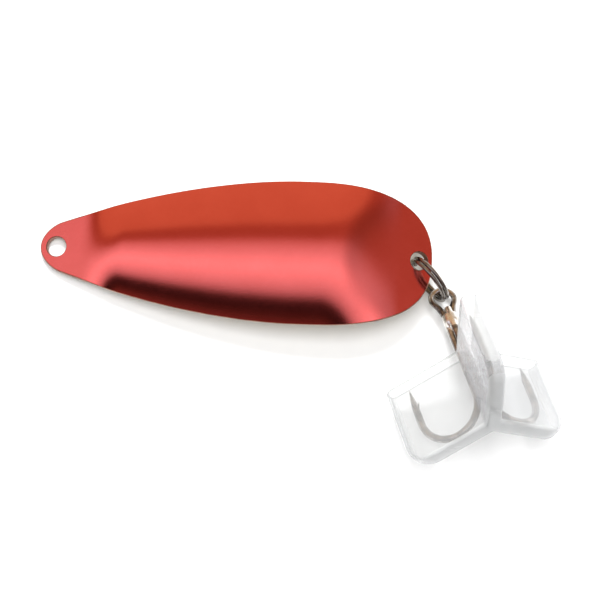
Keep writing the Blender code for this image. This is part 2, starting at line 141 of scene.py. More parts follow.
GUARD_INNER_FLOOR_ROUND = 0.00035
GUARD_OUTER_FLOOR_ROUND = 0.0006
GUARD_INNER_CORNER_SHARE = 0.96
GUARD_TIP_DRAW_IN = 0.5
GUARD_INNER_TIP_ROUND = 0.45
GUARD_LIP_TIP_ROUND = 0.42
GUARD_OUTER_TIP_ROUND = 0.40
GUARD_FLOOR_BAND = 1.4
GUARD_END_BAND = 1.6

FLOOR_HALF_SIZE = 3.0
FLOOR_GAP = 0.00002

# ---- Fineness of the meshes ----

OUTLINE_SAMPLES = 6000
OUTLINE_STEPS = 190
FACE_RINGS = 34
EDGE_STEPS = 5
NORMAL_STEP = 0.00004
MERGE_DISTANCE = 2e-7
AXIS_MERGE_DISTANCE = 1e-7
DRILL_SEGMENTS = 96

WIRE_SIDES = 24
COIL_STEPS = 120
JOG_STEPS = 16
EYE_STEPS = 35
NECK_STEPS = 20
SHANK_STEPS = 18
BEND_STEPS = 60
POINT_STEPS = 5
TAPER_STEPS = 18
BARB_SEGMENTS = 20
BRAZE_STATIONS = 48
BRAZE_SIDES = 72
BRAZE_SMOOTHINGS = 3

WING_STEPS = 8
TIP_STEPS = 5
ROOT_STEPS = 8
LIP_STEPS = 8
WALL_STOPS = (0.0, 0.3, 0.55, 0.75, 0.86, 0.92, 0.96, 0.985, 1.0)
CORNER_STOPS = 39
FLOOR_STOPS = 8
STOP_DIGITS = 7

RING_SHARP_ANGLE = math.radians(50)
HOOK_SHARP_ANGLE = math.radians(45)
GUARD_SHARP_ANGLE = math.radians(60)

# A face whose normal is this near the sheet's own belongs to a side of the blade, not to its rim.
SIDE_FACING = 0.93
# A face this flat on the sheet takes the sheet's exact normals.
FLAT_FACING = 0.985


def posed(location, yaw, pitch, roll):
    turned = Matrix.Rotation(yaw, 4, "Z") @ Matrix.Rotation(pitch, 4, "Y")
    return Matrix.Translation(location) @ (turned @ Matrix.Rotation(roll, 4, "X"))


def smooth_step(share):
    share = min(max(share, 0.0), 1.0)
    return share * share * (3.0 - 2.0 * share)


# ---- Sizes that follow from others, as in the CAD source ----


def coil_pair_width():
    """The split ring's two coils side by side: what passes through the tail hole and the eye."""
    return 2 * RING_WIRE + RING_COIL_GAP


def tail_hole_diameter():
    return coil_pair_width() + 2 * TAIL_HOLE_CLEARANCE


def head_hole_inset():
    return HEAD_HOLE_DIAMETER / 2 + HEAD_HOLE_MARGIN


def tail_hole_inset():
    return tail_hole_diameter() / 2 + TAIL_HOLE_MARGIN


def head_land():
    """Length of the flat land at the head: past the line-tie hole by a margin."""
    return head_hole_inset() + HEAD_HOLE_DIAMETER / 2 + HEAD_LAND_MARGIN


def tail_land():
    return tail_hole_inset() + tail_hole_diameter() / 2 + TAIL_LAND_MARGIN


def ring_radius():
    """From the ring's middle to the middle of its wire."""
    return (RING_DIAMETER - RING_WIRE) / 2


def eye_radius():
    """From the eye's middle to the middle of its wire."""
    return (coil_pair_width() + EYE_WIRE) / 2 + EYE_CLEARANCE


def eye_neck():
    return eye_radius() + EYE_NECK_LENGTH


def shank_offset():
    """Distance of each wire's centre from the shank's axis, with the three wires side by side."""
    return (HOOK_WIRE + WIRE_GAP) / math.sqrt(3)


def single_hook_start():
    return eye_neck() - SINGLE_HOOK_LEAD


def pocket_thickness():
    return HOOK_WIRE + 2 * GUARD_SIDE_CLEARANCE


def guard_thickness():
    return pocket_thickness() + 2 * GUARD_WALL


def guard_reach():
    return HOOK_REACH + HOOK_WIRE / 2 + GUARD_END_CLEARANCE + GUARD_WALL


def guard_bottom():
    return SHANK_LENGTH + BEND_DEPTH + HOOK_WIRE / 2 + GUARD_FLOOR_CLEARANCE + GUARD_WALL


def guard_mouth():
    return SHANK_LENGTH - POINT_LENGTH - GUARD_MOUTH_COVER


# ---- Materials ----


class Nodes:
    """Short names for building one material's node tree."""

    def __init__(self, name):
        self.material = bpy.data.materials.new(name)
        self.material.use_nodes = True
        self.tree = self.material.node_tree
        self.shader = self.tree.nodes["Principled BSDF"]
        coordinates = self.tree.nodes.new("ShaderNodeTexCoord")
        self.place = coordinates.outputs["Object"]

    def link(self, source, target):
        self.tree.links.new(source, target)

    def set(self, **values):
        for name, value in values.items():
            self.shader.inputs[name.replace("_", " ")].default_value = value

    def noise(self, scale, detail=3.0, roughness=0.5, stretch=None, distortion=0.0):
        node = self.tree.nodes.new("ShaderNodeTexNoise")
        node.inputs["Scale"].default_value = scale
        node.inputs["Detail"].default_value = detail
        node.inputs["Roughness"].default_value = roughness
        node.inputs["Distortion"].default_value = distortion
        self.link(self.mapped(stretch), node.inputs["Vector"])
        return node.outputs["Fac"]

    def mapped(self, stretch):
        if stretch is None:
            return self.place
        node = self.tree.nodes.new("ShaderNodeMapping")
        node.inputs["Scale"].default_value = stretch
        self.link(self.place, node.inputs["Vector"])
        return node.outputs["Vector"]

    def cells(self, scale):
        node = self.tree.nodes.new("ShaderNodeTexVoronoi")
        node.inputs["Scale"].default_value = scale
        self.link(self.place, node.inputs["Vector"])
        return node.outputs["Distance"]

    def between(self, source, low, high):
        """Maps 0..1 to low..high."""
        node = self.tree.nodes.new("ShaderNodeMapRange")
        node.inputs["To Min"].default_value = low
        node.inputs["To Max"].default_value = high
        self.link(source, node.inputs["Value"])
        return node.outputs["Result"]

    def window(self, source, start, end):
        """0 below start, 1 above end, smooth between."""
        node = self.tree.nodes.new("ShaderNodeMapRange")
        node.interpolation_type = "SMOOTHSTEP"
        node.inputs["From Min"].default_value = start
        node.inputs["From Max"].default_value = end
        self.link(source, node.inputs["Value"])
        return node.outputs["Result"]

    def mix(self, factor, first, second):
        node = self.tree.nodes.new("ShaderNodeMix")
        node.data_type = "RGBA"
        self.link(factor, node.inputs["Factor"])
        for value, socket in ((first, node.inputs["A"]), (second, node.inputs["B"])):
            if isinstance(value, tuple):
                socket.default_value = (*value, 1.0)
            else:
                self.link(value, socket)
        return node.outputs["Result"]

    def combine(self, operation, first, second):
        """One sum or product of two sockets or numbers."""
        node = self.tree.nodes.new("ShaderNodeMath")
        node.operation = operation
        for value, socket in ((first, node.inputs[0]), (second, node.inputs[1])):
            if isinstance(value, (int, float)):
                socket.default_value = value
            else:
                self.link(value, socket)
        return node.outputs["Value"]

    def bump(self, height, strength, distance, under=None):
        node = self.tree.nodes.new("ShaderNodeBump")
        node.inputs["Strength"].default_value = strength
        node.inputs["Distance"].default_value = distance
        self.link(height, node.inputs["Height"])
        if under is not None:
            self.link(under, node.inputs["Normal"])
        return node.outputs["Normal"]


def lacquer_material():
    """Transparent red lacquer over a bright plated face, with fine orange peel and small specks."""
    nodes = Nodes("red_lacquer")
    nodes.set(Metallic=1.0, Coat_Weight=1.0, Coat_Roughness=0.06, Coat_IOR=1.5)
    deep_red, light_red = (0.80, 0.108, 0.088), (0.83, 0.118, 0.098)
    sparkle_red, speck_red = (0.92, 0.19, 0.18), (0.50, 0.03, 0.02)
    cloud = nodes.noise(scale=190.0, detail=3.0)
    grain = nodes.noise(scale=4200.0, detail=3.0, roughness=0.75)
    tone = nodes.mix(nodes.window(cloud, start=0.3, end=0.75), deep_red, light_red)
    tone = nodes.mix(nodes.window(grain, start=0.50, end=0.90), tone, sparkle_red)
    specks = nodes.window(nodes.cells(scale=420.0), start=0.05, end=0.035)
    patches = nodes.window(nodes.noise(scale=700.0, detail=1.0), start=0.70, end=0.73)
    tone = nodes.mix(nodes.combine("MULTIPLY", specks, patches), tone, speck_red)
    nodes.link(tone, nodes.shader.inputs["Base Color"])
    nodes.link(nodes.between(cloud, low=0.125, high=0.155), nodes.shader.inputs["Roughness"])
    ripple = nodes.noise(scale=1300.0, detail=2.0, roughness=0.6)
    peel = nodes.bump(ripple, strength=0.09, distance=0.00001)
    peel = nodes.bump(grain, strength=0.30, distance=0.00002, under=peel)
    nodes.link(peel, nodes.shader.inputs["Normal"])
    nodes.link(peel, nodes.shader.inputs["Coat Normal"])
    return nodes.material


def bare_brass_material():
    """The cut edge and the punched holes: bare, browned metal with draw marks."""
    nodes = Nodes("bare_brass_edge")
    nodes.set(Metallic=1.0)
    brass, brown, rubbed = (0.36, 0.18, 0.13), (0.22, 0.09, 0.06), (0.50, 0.30, 0.23)
    marks = nodes.noise(scale=900.0, detail=3.0, roughness=0.6, stretch=(1.0, 1.0, 6.0))
    tarnish = nodes.noise(scale=330.0, detail=3.0)
    tone = nodes.mix(nodes.window(tarnish, start=0.35, end=0.7), brass, brown)
    tone = nodes.mix(nodes.window(marks, start=0.5, end=0.8), tone, rubbed)
    nodes.link(tone, nodes.shader.inputs["Base Color"])
    nodes.link(nodes.between(marks, low=0.22, high=0.45), nodes.shader.inputs["Roughness"])
    nodes.link(nodes.bump(marks, strength=0.25, distance=0.00003), nodes.shader.inputs["Normal"])
    return nodes.material


def plated_back_material():
    """The plain back: plated metal with fine lengthwise polishing lines."""
    nodes = Nodes("plated_back")
    nodes.set(Metallic=1.0)
    dull, bright = (0.62, 0.53, 0.36), (0.74, 0.66, 0.48)
    lines = nodes.noise(scale=2600.0, detail=3.0, roughness=0.6, stretch=(0.05, 1.0, 1.0))
    cloud = nodes.noise(scale=200.0, detail=3.0)
    tone = nodes.mix(nodes.window(cloud, start=0.3, end=0.7), dull, bright)
    nodes.link(tone, nodes.shader.inputs["Base Color"])
    nodes.link(nodes.between(lines, low=0.16, high=0.32), nodes.shader.inputs["Roughness"])
    nodes.link(nodes.bump(lines, strength=0.12, distance=0.00001), nodes.shader.inputs["Normal"])
    return nodes.material


def metal_material(name, dark, light, brown, rough, brown_start):
    """Plated or bronzed wire: uneven colour, drawing lines and small brown marks."""
    nodes = Nodes(name)
    nodes.set(Metallic=1.0)
    cloud = nodes.noise(scale=520.0, detail=4.0, roughness=0.6)
    fine = nodes.noise(scale=3400.0, detail=3.0, roughness=0.7)
    tone = nodes.mix(nodes.window(cloud, start=0.3, end=0.72), dark, light)
    blots = nodes.noise(scale=1100.0, detail=3.0, roughness=0.6, distortion=0.6)
    marks = nodes.window(blots, start=brown_start, end=brown_start + 0.1)
    tone = nodes.mix(marks, tone, brown)
    nodes.link(tone, nodes.shader.inputs["Base Color"])
    scuffs = nodes.between(fine, low=-0.05, high=0.09)
    worn = nodes.combine("ADD", scuffs, nodes.between(marks, low=rough, high=rough + 0.2))
    nodes.link(worn, nodes.shader.inputs["Roughness"])
    nodes.link(nodes.bump(fine, strength=0.16, distance=0.00002), nodes.shader.inputs["Normal"])
    return nodes.material


def guard_material(name, clear_alpha, edge_alpha, tint, deep_tint):
    """Clear soft plastic that turns milky where it is seen edge on, with flow marks from moulding."""
    nodes = Nodes(name)
    nodes.set(IOR=1.46, Coat_Weight=0.3, Coat_Roughness=0.12)
    cloud = nodes.noise(scale=180.0, detail=4.0, roughness=0.55)
    flow = nodes.noise(
        scale=700.0, detail=3.0, roughness=0.6, stretch=(0.25, 1.0, 1.0), distortion=0.4
    )
    weight = nodes.tree.nodes.new("ShaderNodeLayerWeight")
    weight.inputs["Blend"].default_value = 0.42
    facing = nodes.window(weight.outputs["Facing"], start=0.18, end=0.98)
    nodes.link(nodes.mix(facing, tint, deep_tint), nodes.shader.inputs["Base Color"])
    alpha = nodes.between(facing, low=clear_alpha, high=edge_alpha)
    haze = nodes.between(cloud, low=-0.03, high=0.05)
    nodes.link(nodes.combine("ADD", alpha, haze), nodes.shader.inputs["Alpha"])
    nodes.link(nodes.between(flow, low=0.16, high=0.34), nodes.shader.inputs["Roughness"])
    nodes.link(nodes.bump(flow, strength=0.10, distance=0.00006), nodes.shader.inputs["Normal"])
    return nodes.material


# ---- Mesh helpers ----


def object_from(name, mesh, materials):
    for surface in materials:
        mesh.materials.append(surface)
    made = bpy.data.objects.new(name, mesh)
    bpy.context.scene.collection.objects.link(made)
    return made


def mesh_from(shape, name):
    mesh = bpy.data.meshes.new(name)
    bmesh.ops.recalc_face_normals(shape, faces=shape.faces)
    shape.to_mesh(mesh)
    shape.free()
    mesh.shade_smooth()
    return mesh


def settle(made):
    """Replaces an object's mesh by what its modifiers make of it, with no material slots."""
    bpy.context.view_layer.update()
    graph = bpy.context.evaluated_depsgraph_get()
    mesh = bpy.data.meshes.new_from_object(made.evaluated_get(graph), depsgraph=graph)
    made.modifiers.clear()
    mesh.materials.clear()
    old = made.data
    made.data = mesh
    bpy.data.meshes.remove(old)


def apply_booleans(target, helpers, operation):
    """Joins or cuts the target with each helper in turn, then removes the helpers."""
    for helper in helpers:
        modifier = target.modifiers.new(helper.name, "BOOLEAN")
        modifier.operation = operation
        modifier.object = helper
        modifier.solver = "MANIFOLD"
    settle(target)
    for helper in helpers:
        bpy.data.objects.remove(helper)


def skin(shape, rings):
    """A strip of quads from each ring of points to the next."""
    for near, far in zip(rings, rings[1:]):
        for index in range(len(near)):
            following = (index + 1) % len(near)
            shape.faces.new((near[index], near[following], far[following], far[index]))


def lathe_shape(profile, steps):
    """A solid turned about x from (x, radius) pairs that begin and end on the axis."""
    shape = bmesh.new()
    line = [shape.verts.new((x, 0, radius)) for x, radius in profile]
    edges = [shape.edges.new(pair) for pair in zip(line, line[1:])]
    bmesh.ops.spin(
        shape,
        geom=line + edges,
        axis=(1, 0, 0),
        cent=(0, 0, 0),
        angle=2 * math.pi,
        steps=steps,
        use_merge=True,
    )
    bmesh.ops.remove_doubles(shape, verts=shape.verts, dist=AXIS_MERGE_DISTANCE)
    return shape


def wire_shape(path, radii):
    """A closed wire along a path, with a radius at each of its points."""
    shape = bmesh.new()
    side = None
    rings = []
    for index, (point, radius) in enumerate(zip(path, radii)):
        ahead = path[min(index + 1, len(path) - 1)] - path[max(index - 1, 0)]
        ahead.normalize()
        if side is None:
            side = ahead.orthogonal().normalized()
        side = (side - ahead * side.dot(ahead)).normalized()
        across = ahead.cross(side)
        ring = []
        for step in range(WIRE_SIDES):
            angle = 2 * math.pi * step / WIRE_SIDES
            offset = radius * (math.cos(angle) * side + math.sin(angle) * across)
            ring.append(shape.verts.new(point + offset))
        rings.append(ring)
    skin(shape, rings)
    shape.faces.new(rings[0])
    shape.faces.new(reversed(rings[-1]))
    return shape


# ---- Blade ----


def half_width(share):
    """Half of the blade's width at a share of its length, from the head tip (0) to the tail (1)."""
    if share < WIDEST_PLACE:
        outline = 1.0 - HEAD_TAPER * ((WIDEST_PLACE - share) / WIDEST_PLACE) ** HEAD_TAPER_POWER
    else:
        past = min((share - WIDEST_PLACE) / (1.0 - WIDEST_PLACE), 1.0)
        outline = (1.0 - past**TAIL_POWER) ** (1.0 / TAIL_ROOT)
    if share < NOSE_SHARE:
        ahead = 1.0 - share / NOSE_SHARE
        outline *= (1.0 - ahead**NOSE_POWER) ** (1.0 / NOSE_POWER)
    return BLADE_WIDTH / 2 * outline


def spine_slope(x):
    """Slope of the rim line: straight lands at both ends, and a bend just before the tail land."""
    span = BLADE_LENGTH - head_land() - tail_land()
    share = min(max((x - head_land()) / span, 0.0), 1.0)
    return math.tan(HEAD_RISE) * (1.0 - share) - math.tan(TAIL_FALL) * share**TAIL_BEND_POWER


def spine_height(x):
    """Height of the rim line, from its slope in closed form."""
    span = BLADE_LENGTH - head_land() - tail_land()
    inside = min(max(x - head_land(), 0.0), span)
    share = inside / span
    rise = math.tan(HEAD_RISE) * (min(x, head_land()) + inside - inside * share / 2)
    fall = math.tan(TAIL_FALL) * inside * share**TAIL_BEND_POWER / (TAIL_BEND_POWER + 1)
    past_land = max(x - (BLADE_LENGTH - tail_land()), 0.0)
    return rise - fall - math.tan(TAIL_FALL) * past_land


def bowl_strength(x):
    """Share of the cross curve that the blade has: none on the lands, all of it between the runs."""
    from_head = smooth_step((x - head_land()) / BOWL_HEAD_RUN)
    from_tail = smooth_step((BLADE_LENGTH - tail_land() - x) / BOWL_TAIL_RUN)
    return from_head * from_tail


def blade_height(x, y):
    """Height of the middle surface. The cross curve leaves the rim equally steeply all along."""
    strength = bowl_strength(x)
    if strength <= 0.0:
        return spine_height(x)
    half = half_width(x / BLADE_LENGTH)
    bowl = BOWL_DEPTH * (half**2 - y**2) / (half * BLADE_WIDTH / 2)
    return spine_height(x) + strength * bowl


def blade_normal(x, y):
    """Unit normal of the blade's middle surface, by small steps either side."""
    step = NORMAL_STEP
    x = min(max(x, 2 * step), BLADE_LENGTH - 2 * step)
    slope_x = (blade_height(x + step, y) - blade_height(x - step, y)) / (2 * step)
    slope_y = (blade_height(x, y + step) - blade_height(x, y - step)) / (2 * step)
    return Vector((-slope_x, -slope_y, 1.0)).normalized()


def blade_point(x, y, lift):
    """A point of the sheet: on its middle surface, or lifted off it along the normal."""
    return Vector((x, y, blade_height(x, y))) + lift * blade_normal(x, y)


def outline_points():
    """One side of the outline, in even steps from head tip to tail tip, and its outward ways."""
    line = []
    for index in range(OUTLINE_SAMPLES + 1):
        x = BLADE_LENGTH * (1.0 - math.cos(math.pi * index / OUTLINE_SAMPLES)) / 2
        line.append(Vector((x, half_width(x / BLADE_LENGTH))))
    line[0].y = 0.0
    line[-1].y = 0.0
    travelled = [0.0]
    for near, far in zip(line, line[1:]):
        travelled.append(travelled[-1] + (far - near).length)
    points = []
    index = 0
    for step in range(OUTLINE_STEPS + 1):
        wanted = travelled[-1] * step / OUTLINE_STEPS
        while index < OUTLINE_SAMPLES - 1 and travelled[index + 1] < wanted:
            index += 1
        share = (wanted - travelled[index]) / (travelled[index + 1] - travelled[index])
        points.append(line[index].lerp(line[index + 1], min(max(share, 0.0), 1.0)))
    outward = [Vector((-1.0, 0.0))]
    for before, after in zip(points, points[2:]):
        along = (after - before).normalized()
        outward.append(Vector((-along.y, along.x)))
    outward.append(Vector((1.0, 0.0)))
    return points, outward


def hole_cutter(name, x, slope, diameter):
    """A drill that leaves a small countersink at both faces of the sheet."""
    radius = diameter / 2
    half = BLADE_THICKNESS / 2
    lip = radius + COUNTERSINK
    knee = radius + COUNTERSINK_KNEE_WIDTH * COUNTERSINK
    knee_depth = COUNTERSINK_KNEE_DEPTH * COUNTERSINK
    end_depth = COUNTERSINK_END_DEPTH * COUNTERSINK
    profile = [
        (-3 * half, 0.0),
        (-3 * half, lip + 2 * half),
        (-half, lip),
        (-half + knee_depth, knee),
        (-half + end_depth, radius),
        (half - end_depth, radius),
        (half - knee_depth, knee),
        (half, lip),
        (3 * half, lip + 2 * half),
        (3 * half, 0.0),
    ]
    mesh = mesh_from(lathe_shape(profile, DRILL_SEGMENTS), name)
    mesh.transform(Matrix.Rotation(-math.pi / 2, 4, "Y"))
    tilt = Matrix.Rotation(-math.atan(slope), 4, "Y")
    mesh.transform(Matrix.Translation((x, 0, blade_height(x, 0))) @ tilt)
    return object_from(name, mesh, [])


def blade_mesh():
    """The sheet as nested rings: out over its upper face, round the rim, and in over its lower face."""
    side, outward = outline_points()
    walk = [(point, way, 1.0) for point, way in zip(side, outward)]
    walk += [(point, way, -1.0) for point, way in zip(side[-2:0:-1], outward[-2:0:-1])]
    first_centre = head_hole_inset()
    last_centre = BLADE_LENGTH - tail_hole_inset()
    half = BLADE_THICKNESS / 2
    rounding = BLADE_EDGE_ROUND
    rings = []
    shape = bmesh.new()

    def ring(inset, share, lift):
        made = []
        for point, way, hand in walk:
            x = point.x - inset * way.x
            y = hand * (point.y - inset * way.y)
            middle = min(max(x, first_centre), last_centre)
            x += (middle - x) * share
            y -= y * share
            made.append(shape.verts.new(blade_point(x, y, lift)))
        rings.append(made)

    for step in range(FACE_RINGS):
        ring(rounding, 1.0 - step / FACE_RINGS, half)
    for step in range(EDGE_STEPS + 1):
        angle = math.pi / 2 * step / EDGE_STEPS
        ring(rounding * (1 - math.sin(angle)), 0.0, half - rounding * (1 - math.cos(angle)))
    for step in range(EDGE_STEPS + 1):
        angle = math.pi / 2 * (1 - step / EDGE_STEPS)
        ring(rounding * (1 - math.sin(angle)), 0.0, rounding * (1 - math.cos(angle)) - half)
    for step in range(1, FACE_RINGS + 1):
        ring(rounding, step / FACE_RINGS, -half)
    skin(shape, rings)
    bmesh.ops.remove_doubles(shape, verts=shape.verts, dist=MERGE_DISTANCE)
    return mesh_from(shape, "blade_sheet")


def build_blade(matrix):
    blade = object_from("blade_sheet", blade_mesh(), [])
    tail_hole = BLADE_LENGTH - tail_hole_inset()
    drills = [
        hole_cutter("line_drill", head_hole_inset(), spine_slope(0.0), HEAD_HOLE_DIAMETER),
        hole_cutter("ring_drill", tail_hole, spine_slope(BLADE_LENGTH), tail_hole_diameter()),
    ]
    apply_booleans(blade, drills, "DIFFERENCE")
    mesh = blade.data
    for surface in (lacquer_material(), plated_back_material(), bare_brass_material()):
        mesh.materials.append(surface)
    mesh.shade_smooth()
    normals = [Vector(corner.vector) for corner in mesh.corner_normals]
    upward = [blade_normal(vertex.co.x, vertex.co.y) for vertex in mesh.vertices]
    for face in mesh.polygons:
        facing = face.normal.dot(blade_normal(face.center.x, face.center.y))
        face.material_index = 0 if facing > SIDE_FACING else 1 if facing < -SIDE_FACING else 2
        if abs(facing) > FLAT_FACING:
            for corner in face.loop_indices:
                up = upward[mesh.loops[corner].vertex_index]
                normals[corner] = up * math.copysign(1.0, facing)
    mesh.normals_split_custom_set(normals)
    mesh.transform(matrix)
    return blade


# ---- Split ring ----


def build_ring(matrix):
    """Two coils of wire side by side, with a jog from one to the other."""
    pitch = RING_WIRE + RING_COIL_GAP
    turn = 2 * math.pi - RING_JOG_ANGLE
    start = RING_JOG_PLACE + RING_JOG_ANGLE / 2
    points = []

    def add_point(angle, across):
        along, up = ring_radius() * math.cos(angle), ring_radius() * math.sin(angle)
        points.append(Vector((along, across, up)))

    for coil in (-0.5, 0.5):
        for step in range(COIL_STEPS + 1):
            add_point(start + turn * step / COIL_STEPS, coil * pitch)
        if coil < 0:
            for step in range(1, JOG_STEPS):
                share = step / JOG_STEPS
                add_point(start + turn + RING_JOG_ANGLE * share, pitch * (smooth_step(share) - 0.5))
    shape = wire_shape(points, [RING_WIRE / 2] * len(points))
    bmesh.ops.translate(shape, verts=shape.verts, vec=(ring_radius(), 0, 0))
    mesh = mesh_from(shape, "ring_coils")
    mesh.set_sharp_from_angle(angle=RING_SHARP_ANGLE)
    mesh.transform(matrix)
    steel = metal_material(
        "black_nickel",
        dark=(0.16, 0.145, 0.13),
        light=(0.36, 0.33, 0.30),
        brown=(0.10, 0.06, 0.04),
        rough=0.16,
        brown_start=0.68,
    )
    return object_from("ring_coils", mesh, [steel])


# ---- Treble hook ----


def arm_direction(turn):
    return Vector((0, math.sin(turn), math.cos(turn)))


def hook_arm(outward, start):
    """A hook's wire from its start on the shank, round the bend, to its tapered point."""
    inner = shank_offset()
    middle = (inner + HOOK_REACH) / 2
    spread = (HOOK_REACH - inner) / 2
    path = []
    radii = []
    for step in range(SHANK_STEPS + 1):
        x = start + (SHANK_LENGTH - start) * step / SHANK_STEPS
        path.append(Vector((x, 0, 0)) + inner * outward)
        radii.append(HOOK_WIRE / 2)
    for step in range(1, BEND_STEPS + 1):
        angle = math.pi * step / BEND_STEPS
        reach = middle - spread * math.cos(angle)
        path.append(Vector((SHANK_LENGTH + BEND_DEPTH * math.sin(angle), 0, 0)) + reach * outward)
        radii.append(HOOK_WIRE / 2)
    for step in range(1, POINT_STEPS + 1):
        along = (POINT_LENGTH - POINT_TAPER) * step / POINT_STEPS
        path.append(Vector((SHANK_LENGTH - along, 0, 0)) + HOOK_REACH * outward)
        radii.append(HOOK_WIRE / 2)
    for step in range(1, TAPER_STEPS + 1):
        share = step / TAPER_STEPS
        along = POINT_LENGTH - POINT_TAPER * (1 - share)
        path.append(Vector((SHANK_LENGTH - along, 0, 0)) + HOOK_REACH * outward)
        thinned = share**POINT_POWER
        radii.append(HOOK_WIRE / 2 * (1 - thinned) + POINT_TIP / 2 * thinned)
    return path, radii


def eye_side(outward):
    """Half of the eye, from its top round to its neck, and on to the shank in one smooth curve."""
    radius = eye_radius()
    sideways = Vector((0, math.copysign(1.0, outward.y), 0))
    path = []
    for step in range(EYE_STEPS + 1):
        angle = EYE_ROUND * step / EYE_STEPS
        path.append(Vector((-radius * math.cos(angle), 0, 0)) + radius * math.sin(angle) * sideways)
    begin = path[-1]
    begin_slope = Vector((math.sin(EYE_ROUND), 0, 0)) + math.cos(EYE_ROUND) * sideways
    end = Vector((eye_neck(), 0, 0)) + shank_offset() * outward
    length = (end - begin).length
    for step in range(1, NECK_STEPS):
        share = step / NECK_STEPS
        path.append(
            (2 * share**3 - 3 * share**2 + 1) * begin
            + (share**3 - 2 * share**2 + share) * length * begin_slope
            + (3 * share**2 - 2 * share**3) * end
            + (share**3 - share**2) * length * Vector((1, 0, 0))
        )
    radii = []
    for index in range(len(path)):
        share = smooth_step((index - EYE_STEPS - 1) / (NECK_STEPS - 1))
        radii.append((EYE_WIRE * (1 - share) + HOOK_WIRE * share) / 2)
    return path, radii


def barb(name, turn):
    """A slim sliver raised from the inner side of a point, leaning away from the tip."""
    x = SHANK_LENGTH - POINT_LENGTH + BARB_PLACE
    shape = bmesh.new()
    lean = Matrix.Rotation(1.5 * math.pi - BARB_RISE, 4, "Y")
    squash = Matrix.Diagonal((BARB_SQUASH, 1.0, 1.0, 1.0))
    place = Matrix.Translation((x, 0, HOOK_REACH - HOOK_WIRE / 2)) @ lean @ squash
    bmesh.ops.create_cone(
        shape,
        cap_ends=True,
        segments=BARB_SEGMENTS,
        radius1=BARB_WIDTH / 2,
        radius2=BARB_TIP / 2,
        depth=BARB_LENGTH,
        matrix=Matrix.Rotation(-turn, 4, "X") @ place,
    )
    return object_from(name, mesh_from(shape, name), [])


def build_hook(name, path, radii, turns, matrix, steel):
    made = object_from(name, mesh_from(wire_shape(path, radii), name), [])
    barbs = [barb(f"{name}_barb_{index}", turn) for index, turn in enumerate(turns)]
    apply_booleans(made, barbs, "UNION")
    made.data.materials.append(steel)
    made.data.shade_smooth()
    made.data.set_sharp_from_angle(angle=HOOK_SHARP_ANGLE)
    made.data.transform(matrix)
    return made


def build_hooks(matrix):
    """The double hook, one wire from point to point by way of the eye, and the single hook."""
    steel = metal_material(
        "bronzed_steel",
        dark=(0.11, 0.10, 0.095),
        light=(0.50, 0.46, 0.42),
        brown=(0.22, 0.14, 0.10),
        rough=0.20,
        brown_start=0.74,
    )
    halves = []
    for turn in PAIR_TURNS:
        eye_path, eye_radii = eye_side(arm_direction(turn))
        hook_path, hook_radii = hook_arm(arm_direction(turn), eye_neck())
        halves.append((eye_path + hook_path, eye_radii + hook_radii))
    path = halves[0][0][::-1] + halves[1][0][1:]
    radii = halves[0][1][::-1] + halves[1][1][1:]
    double = build_hook("hook_pair", path, radii, PAIR_TURNS, matrix, steel)
    path, radii = hook_arm(arm_direction(0.0), single_hook_start())
    single = build_hook("hook_third", path, radii, (0.0,), matrix, steel)
    return double, single


def build_braze(matrix):
    """Brazing metal: a smooth skin that wets the three wires and fills the grooves between them."""
    start = single_hook_start() - BRAZE_CAP
    end = start + BRAZE_LENGTH
    shape = bmesh.new()
    inner = shank_offset()
    rings = []
    for station in range(BRAZE_STATIONS + 1):
        share = station / BRAZE_STATIONS
        x = start + (end - start) * share
        thinning = smooth_step((share - BRAZE_THINNING_START) / (1 - BRAZE_THINNING_START))
        wet = smooth_step(share / BRAZE_WETTING_RUN) * (1.0 - BRAZE_THINNING * thinning)
        fill = inner + (BRAZE_FILL_DRY + BRAZE_FILL_WET * wet) * HOOK_WIRE
        ring = []
        for step in range(BRAZE_SIDES):
            angle = 2 * math.pi * step / BRAZE_SIDES
            wires = 0.0
            for turn in (0.0, *PAIR_TURNS):
                along = inner * math.cos(angle - turn)
                off = inner * math.sin(angle - turn)
                if abs(off) < HOOK_WIRE / 2:
                    wires = max(wires, along + math.sqrt((HOOK_WIRE / 2) ** 2 - off**2))
            on_wires = wires - BRAZE_UNDER_WIRE + BRAZE_SKIN * wet
            on_pair_side = math.cos(angle) <= BRAZE_PAIR_SIDE_START
            fullness = BRAZE_PAIR_SIDE_FILL if on_pair_side else 1.0
            radius = max(on_wires, fill * wet * fullness, BRAZE_LEAST_RADIUS)
            radius = min(radius, inner + HOOK_WIRE / 2 + BRAZE_MOST_SKIN)
            ring.append(shape.verts.new(Vector((x, 0, 0)) + radius * arm_direction(angle)))
        rings.append(ring)
    skin(shape, rings)
    shape.faces.new(rings[0])
    shape.faces.new(reversed(rings[-1]))
    for _ in range(BRAZE_SMOOTHINGS):
        bmesh.ops.smooth_vert(
            shape, verts=shape.verts, factor=0.5, use_axis_x=True, use_axis_y=True, use_axis_z=True
        )
    mesh = mesh_from(shape, "braze_fillet")
    mesh.transform(matrix)
    alloy = metal_material(
        "braze_alloy",
        dark=(0.66, 0.63, 0.58),
        light=(0.92, 0.90, 0.86),
        brown=(0.26, 0.15, 0.09),
        rough=0.26,
        brown_start=0.76,
    )
    return object_from("braze_fillet", mesh, [alloy])


# ---- Hook guard ----


